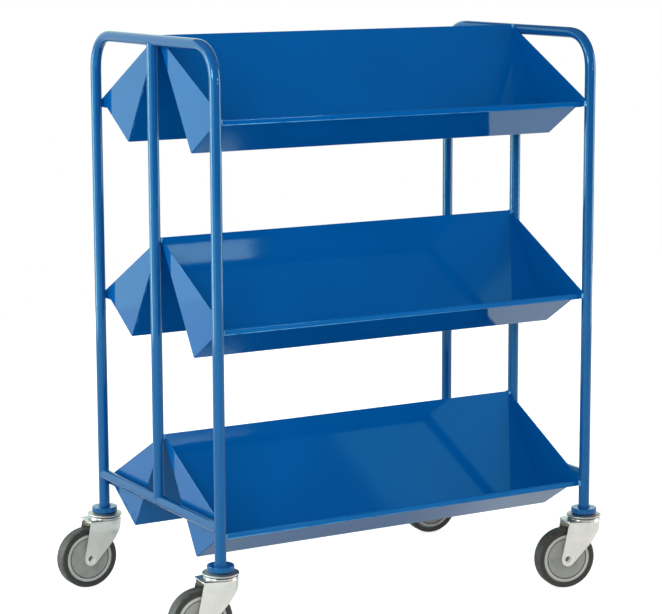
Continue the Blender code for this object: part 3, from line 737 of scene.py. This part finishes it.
def cheek_limits(z):
    """The rear and front edges of the cheek at a height, as X."""
    drop = z - axle_place.y
    reach = math.sqrt(max(end_radius ** 2 - drop ** 2, 0))
    rear = axle_place.x - reach
    if z > rear_touch.y:
        rear = rear_touch.lerp(neck, (z - rear_touch.y) / (neck.y - rear_touch.y)).x
        corner_rise = max(neck_radius - (neck.y - z), 0)
        rear -= neck_radius - math.sqrt(neck_radius ** 2 - corner_rise ** 2)
    front = axle_place.x + reach
    if z > front_touch.y:
        sloped = front_touch.lerp(nose_foot, (z - front_touch.y) / (nose_foot.y - front_touch.y)).x
        share = min(max(0.5 + (sloped - nose_reach) / (2 * nose_ease), 0), 1)
        front = sloped + (nose_reach - sloped) * share - nose_ease * share * (1 - share)
    return rear, front


def fork_row(rear, front, z, spread, inset=0.0, share=1.0, corner=0.0):
    """Points of one level of the pressing, from its rear edge round to its front edge; the tab's
    rear corners are rounded off where a corner radius is given."""
    reach = nose_reach - inset
    swing = math.pi / 2 - math.acos(min(front / nose_reach, 1.0)) if front > 0 else 0.0
    straight = min(front, 0) - rear
    total = straight + nose_reach * swing
    points = []
    for column in range(fork_columns + 1):
        done = total * column / fork_columns
        if done <= straight:
            x = rear + done
            near_end = max(corner - done, 0)
            wide = nose_reach + tail_slope * x - corner + math.sqrt(corner ** 2 - near_end ** 2)
            y = cheek_y + (wide - cheek_y) * spread - inset
        else:
            turn = (done - straight) / nose_reach
            x = share * reach * math.sin(turn)
            y = (cheek_y + (nose_reach - cheek_y) * spread - inset) * math.cos(turn)
        points.append((x, share * y, z))
    return points


fork_rows = []
for share in crown_rings:
    fork_rows.append(fork_row(tail_x, nose_reach, crown_z, 1.0, crown_edge, share, tab_corner))
for step in range(edge_steps + 1):
    turn = math.pi / 2 * step / edge_steps
    level = crown_z - crown_edge * (1 - math.cos(turn))
    inset = crown_edge * (1 - math.sin(turn))
    fork_rows.append(fork_row(tail_x, nose_reach, level, 1.0, inset, 1.0, tab_corner))
levels = []
for step in range(1, nose_steps + 1):
    levels.append(neck.y + (nose_foot_z - neck.y) * step / nose_steps)
for step in range(1, cheek_steps + 1):
    share = (1 - math.cos(math.pi * step / cheek_steps)) / 2
    levels.append(nose_foot_z + (front_touch.y - nose_foot_z) * share)
end_turn = math.asin((axle_place.y - front_touch.y) / end_radius)
for step in range(1, end_steps + 1):
    turn = end_turn + (math.pi / 2 - end_turn) * step / end_steps
    levels.append(axle_place.y - end_radius * math.sin(turn))
for level in levels:
    rise = max((level - shoulder_z) / (neck.y - shoulder_z), 0)
    fork_rows.append(fork_row(*cheek_limits(level), level, rise * rise * (3 - 2 * rise)))
fork_bm = bmesh.new()
for side in (-1, 1):
    grid = []
    for row in fork_rows:
        grid.append([fork_bm.verts.new((x, side * y, z)) for x, y, z in row])
    for near, far in zip(grid, grid[1:]):
        for column in range(fork_columns):
            fork_bm.faces.new((near[column], near[column + 1], far[column + 1], far[column]))
fork_skin = finished_mesh(fork_bm, "fork")
fork_work = bpy.data.objects.new("fork_work", fork_skin)
bpy.context.scene.collection.objects.link(fork_work)
thicken = fork_work.modifiers.new("sheet", "SOLIDIFY")
thicken.thickness = fork_sheet
thicken.offset = -1.0
thicken.use_even_offset = True
eye_corners = [(0.0, -eye_reach), (eye_radius, -eye_reach), (eye_radius, eye_reach), (0.0, eye_reach)]
eye = lathe("axle_eye", eye_corners, eye_sides)
eye.transform(Matrix.Translation((axle_place.x, 0, axle_place.y)) @ Matrix.Rotation(math.pi / 2, 4, "X"))
eye_work = bpy.data.objects.new("eye_work", eye)
bpy.context.scene.collection.objects.link(eye_work)
pierce = fork_work.modifiers.new("eyes", "BOOLEAN")
pierce.operation = "DIFFERENCE"
pierce.object = eye_work
bpy.context.view_layer.update()
fork = bpy.data.meshes.new_from_object(fork_work.evaluated_get(bpy.context.evaluated_depsgraph_get()))
bpy.data.objects.remove(fork_work)
bpy.data.objects.remove(eye_work)
fork.shade_smooth()
fork.set_sharp_from_angle(angle=fork_sharp_angle)

bright, bright_shader, bright_at = new_finish("zinc_bright")
bright_turning = bright_at.stretched(1.0, 1.0, 9.0).noise(260.0, 3.0)
bright_turning.blend((0.66, 0.67, 0.66), (0.82, 0.82, 0.80)).into(bright_shader, "Base Color")
(bright_turning * 0.10 + 0.08).into(bright_shader, "Roughness")
bright_turning.bump(0.00001).into(bright_shader, "Normal")
bright_shader.inputs["Metallic"].default_value = 1.0
seat_bore = 0.0111
seat_foot = 0.1412
seat_top = 0.1458
seat_corners = [(seat_bore, seat_foot), (0.0310, seat_foot), (0.0329, 0.1422), (0.0337, seat_top),
                (0.0300, seat_top), (0.0285, 0.1446), (0.0255, 0.1446), (0.0240, seat_top),
                (seat_bore, seat_top)]
seat_rounds = [0, 0.0004, 0.0012, 0.0016, 0.0004, 0.0006, 0.0006, 0.0004, 0]
seat_steps = 6
seat_sides = 72
fine_guard = 0.0001
seat = lathe("ball_seat", eased(seat_corners, seat_rounds, seat_steps, fine_guard), seat_sides)
for corner in corners:
    placed = fork.copy()
    placed.transform(castor_stand[corner])
    show(f"fork_{corner}_pressing", placed, zinc, f"castor_{corner}", "zinc_plate", f"fork_{corner}")
    placed = seat.copy()
    placed.transform(castor_stand[corner])
    show(f"ball_seat_{corner}", placed, bright, f"castor_{corner}", "zinc_plate")

# Axles and bushes. A tubular steel rivet through the cheeks, its ends rolled over outside them, and
# the plain spacer tube that it clamps, on which the wheel turns.
rivet, rivet_shader, rivet_at = new_finish("rivet_zinc")
rivet_grain = rivet_at.noise(700.0, 3.0)
from_middle = rivet_at.add("ShaderNodeAttribute", {"attribute_name": "radius"}, {}, "Fac")
# Painted shade: inside the bore's radius the rivet is a dark grey, standing for the shade deep in the hole.
out_of_bore_shade = from_middle.between(0.0059, 0.0064)
shaded_bore_grey = rivet_grain.blend((0.10, 0.10, 0.095), (0.16, 0.16, 0.15))
rolled_grey = rivet_grain.blend((0.80, 0.80, 0.775), (0.91, 0.905, 0.88))
out_of_bore_shade.mix(shaded_bore_grey, rolled_grey).into(rivet_shader, "Base Color")
(rivet_grain * 0.12 + 0.28).into(rivet_shader, "Roughness")
rivet_grain.bump(0.00001).into(rivet_shader, "Normal")
rivet_shader.inputs["Metallic"].default_value = 0.15
axle_radius = 0.0076
cheek_face = 0.0226
axle_corners = [(axle_radius, 0.0110), (axle_radius, cheek_face), (0.0098, cheek_face), (0.0094, 0.0234),
                (axle_radius, 0.0237), (0.0065, 0.0130), (0.0, 0.0124)]
axle_rounds = [0, 0.0002, 0.0004, 0.0006, 0.0006, 0.0003, 0]
axle_sides = 56
axle_end = eased(axle_corners, axle_rounds, turned_steps, fine_guard)
axle_profile = [Vector((point.x, -point.y)) for point in reversed(axle_end)] + axle_end
axle = lathe("axle", axle_profile, axle_sides)
on_axle = Matrix.Translation((axle_place.x, 0, axle_place.y))
laid_across = Matrix.Rotation(-math.pi / 2, 4, "X")
wheel_stand = {}
for corner in corners:
    wheel_stand[corner] = castor_stand[corner] @ on_axle @ laid_across
    placed = axle.copy()
    placed.transform(wheel_stand[corner])
    show(f"axle_{corner}", placed, rivet, f"castor_{corner}", "zinc_plate", f"wheel_axle_{corner}")
    frame["nodes"][f"axle_bush_{corner}"].data.materials[0] = zinc

# Wheel centres. Grey moulded plastic discs with a hub boss, a turned groove darkened with painted shade,
# and a raised, paler rim that the tyre is moulded onto.
moulding, moulding_shader, moulding_at = new_finish("grey_moulding")
from_axle = moulding_at.add("ShaderNodeAttribute", {"attribute_name": "radius"}, {}, "Fac")
rim_share = from_axle.between(0.0420, 0.0436)
# Painted shade: the turned groove is near-black, with a little dirt noise, standing for the shade in it.
groove_shade_share = from_axle.between(0.0412, 0.0418) - from_axle.between(0.0430, 0.0436)
moulding_grain = moulding_at.noise(900.0, 3.0)
moulding_dirt = moulding_at.noise(45.0, 5.0).between(0.35, 0.8)
rim_grey = moulding_dirt.blend((0.43, 0.43, 0.40), (0.34, 0.34, 0.315))
disc_grey = moulding_dirt.blend((0.27, 0.275, 0.25), (0.20, 0.203, 0.183))
plain_grey = rim_share.mix(disc_grey, rim_grey)
groove_shade_grey = moulding_dirt.blend((0.05, 0.052, 0.048), (0.03, 0.032, 0.03))
groove_shade_share.mix(plain_grey, groove_shade_grey).into(moulding_shader, "Base Color")
(moulding_grain * 0.15 + moulding_dirt * 0.15 + 0.32).into(moulding_shader, "Roughness")
moulding_grain.bump(0.00003).into(moulding_shader, "Normal")
hub_bore = 0.0102
boss_radius = 0.0140
boss_face = 0.0194
centre_corners = [(hub_bore, 0.0), (hub_bore, boss_face), (boss_radius, boss_face), (boss_radius, 0.0145),
                  (0.0415, 0.0140), (0.0425, 0.0120), (0.0435, 0.0147), (0.0470, 0.0152), (0.0497, 0.0142)]
centre_rounds = [0, 0.0004, 0.0008, 0.0015, 0.0006, 0.0004, 0.0008, 0.004, 0]
centre_sides = 96
centre_half = eased(centre_corners, centre_rounds, turned_steps, fine_guard)[1:]
centre_profile = centre_half + [Vector((point.x, -point.y)) for point in reversed(centre_half)]
centre = lathe("wheel_centre", centre_profile, centre_sides)
for corner in corners:
    placed = centre.copy()
    placed.transform(wheel_stand[corner])
    show(f"centre_{corner}", placed, moulding, f"wheel_{corner}", "grey_moulding", f"wheel_centre_{corner}")

# Tyres. Dark grey rubber rings with a flat tread and rounded shoulders, moulded onto the rims of the
# wheel centres and dusty where they roll.
rubber, rubber_shader, rubber_at = new_finish("dark_rubber")
from_hub = rubber_at.add("ShaderNodeAttribute", {"attribute_name": "radius"}, {}, "Fac")
tread = from_hub.between(0.0585, 0.0618)
rubber_speck = rubber_at.noise(700.0, 4.0)
dust = tread * rubber_at.noise(120.0, 5.0).between(0.30, 0.75)
dust.blend((0.026, 0.0262, 0.024), (0.084, 0.078, 0.062)).into(rubber_shader, "Base Color")
(rubber_speck * 0.15 + dust * 0.15 + 0.42).into(rubber_shader, "Roughness")
rubber_speck.bump(0.00004).into(rubber_shader, "Normal")
rim_radius = 0.0500
tyre_radius = 0.0625
tyre_corners = [(rim_radius, 0.0), (rim_radius, 0.0143), (0.0520, 0.0158), (0.0560, 0.0160),
                (0.0610, 0.0145), (tyre_radius, 0.0095), (tyre_radius, 0.0)]
tyre_rounds = [0, 0.0004, 0.001, 0.004, 0.004, 0.004, 0]
tyre_steps = 6
tyre_sides = 120
tyre_guard = 0.0002
tyre_half = eased(tyre_corners, tyre_rounds, tyre_steps, tyre_guard)[1:-1]
tyre_profile = tyre_half + [Vector((point.x, -point.y)) for point in reversed(tyre_half)]
tyre = lathe("tyre", tyre_profile, tyre_sides)
for corner in corners:
    placed = tyre.copy()
    placed.transform(wheel_stand[corner])
    show(f"tyre_{corner}_ring", placed, rubber, f"wheel_{corner}", "dark_rubber", f"tyre_{corner}")


# Floor, lamps and camera. A white studio: a pale floor, soft boxes behind, left, right and overhead,
# narrow ones that draw the highlights on the tubes, and a soft fill from the front.
def lamp(name, place, aim, width, height, brightness, colour=(1.0, 1.0, 1.0), fills=True, mirrored=True):
    """A soft box of a given size and surface brightness that points at a place; it may light matt
    surfaces alone or show in glossy ones alone."""
    light = bpy.data.lights.new(name, "AREA")
    light.shape = "RECTANGLE"
    light.size = width
    light.size_y = height
    light.energy = brightness * math.pi * width * height
    light.color = colour
    box = bpy.data.objects.new(name, light)
    box.location = place
    box.rotation_euler = (Vector(aim) - Vector(place)).to_track_quat("-Z", "Y").to_euler()
    box.visible_camera = False
    box.visible_diffuse = fills
    box.visible_glossy = mirrored
    bpy.context.scene.collection.objects.link(box)


cool = (0.79, 1.0, 0.95)
warm = (1.0, 0.35, 0.33)
lamp("behind", (2.0, 3.4, 1.5), (2.0, 0.0, 1.5), 11.0, 3.2, 1.3, cool)
lamp("left", (-3.4, 0.4, 1.5), (0.0, 0.4, 1.5), 5.5, 3.2, 2.05, cool)
lamp("right", (3.6, -1.2, 1.1), (0.0, -0.4, 1.0), 2.6, 2.2, 1.0)
lamp("overhead", (-0.5, 0.7, 3.2), (0.0, 0.0, 0.0), 2.6, 2.2, 0.15)
lamp("fill", (-1.95, -3.35, 2.0), (0.0, 0.0, 0.6), 2.4, 1.6, 8.4, mirrored=False)
lamp("right_fill", (3.0, -2.2, 1.6), (0.0, 0.0, 0.6), 1.2, 1.2, 5.5, mirrored=False)
lamp("right_wall", (3.15, -2.5, 2.5), (0.0, 0.0, 2.5), 1.5, 2.96, 0.55)
lamp("left_strip", (-3.05, 1.5, 1.0), (0.0, 0.0, 1.0), 1.5, 2.0, 7.0, fills=False)
lamp("left_glint", (-3.3, -1.2, 1.7), (0.0, 0.0, 1.1), 0.7, 0.7, 20.0, fills=False)
lamp("right_strip", (3.4, -1.25, 1.1), (0.0, -0.3, 1.1), 1.8, 2.2, 3.6, fills=False)
lamp("right_glint", (1.46, -3.35, 1.465), (-0.1, -0.2, 1.465), 0.36, 0.13, 62.0, warm, fills=False)
lamp("right_glow", (1.42, -3.35, 1.12), (-0.1, -0.2, 1.12), 0.34, 0.14, 46.0, warm, fills=False)

paper, paper_shader, paper_at = new_finish("white_floor")
paper_at.noise(3.0, 3.0).blend((0.56, 0.56, 0.56), (0.60, 0.60, 0.60)).into(paper_shader, "Base Color")
(paper_at.noise(400.0) * 0.1 + 0.75).into(paper_shader, "Roughness")
paper_seen = paper_at.add("ShaderNodeLightPath", {}, {}, "Is Camera Ray")
paper_mirrored = paper_at.add("ShaderNodeLightPath", {}, {}, "Is Glossy Ray")
paper_across = paper_at.add("ShaderNodeSeparateXYZ", {}, {0: paper_at}, "X")
paper_along = paper_at.add("ShaderNodeSeparateXYZ", {}, {0: paper_at}, "Y")
# Painted reflection glow and shadow: to glossy rays the floor glows, and less within the trolley's footprint,
# as a painted shadow under it.
past_ends = (paper_across * paper_across) * 5.0
past_sides = (paper_along * paper_along) * 16.0
outside_painted_shadow = paper_at.maths("MAXIMUM", past_ends, past_sides).between(0.1, 1.2)
painted_reflection_glow = paper_mirrored * (outside_painted_shadow * 0.28 + 0.06)
(paper_seen * 0.70 - paper_mirrored * 0.05 + painted_reflection_glow + 0.08).into(paper_shader, "Emission Color")
paper_shader.inputs["Emission Strength"].default_value = 1.0
floor_mesh = bpy.data.meshes.new("floor")
floor_corners = [(-4.5, -6.5, 0), (4.5, -6.5, 0), (4.5, 3.4, 0), (-4.5, 3.4, 0)]
floor_mesh.from_pydata(floor_corners, [], [(0, 1, 2, 3)])
floor_mesh.materials.append(paper)
floor = bpy.data.objects.new("floor", floor_mesh)
bpy.context.scene.collection.objects.link(floor)

world = bpy.data.worlds.new("studio")
world.use_nodes = True
sky = world.node_tree.nodes["Background"]
seen = Wire(world.node_tree).add("ShaderNodeLightPath", {}, {}, "Is Camera Ray")
mirrored = Wire(world.node_tree).add("ShaderNodeLightPath", {}, {}, "Is Glossy Ray")
(0.3 + seen * 0.7 - mirrored * 0.14).into(sky, "Strength")
sky.inputs["Color"].default_value = (1.0, 1.0, 1.0, 1.0)
scene = bpy.context.scene
scene.world = world
scene.view_settings.view_transform = "Standard"

camera_data = bpy.data.cameras.new("photo_view")
camera_data.lens = 125.09
camera_data.sensor_width = 36.0
camera_data.sensor_fit = "HORIZONTAL"
camera = bpy.data.objects.new("photo_view", camera_data)
right = Vector((0.86354122, -0.50426651, -0.00344318))
upward = Vector((0.08581464, 0.14021978, 0.98639458))
view = Matrix((right, upward, right.cross(upward))).transposed().to_4x4()
camera.matrix_world = Matrix.Translation((-2.32038, -3.99076, 1.35622)) @ view
scene.collection.objects.link(camera)
scene.camera = camera
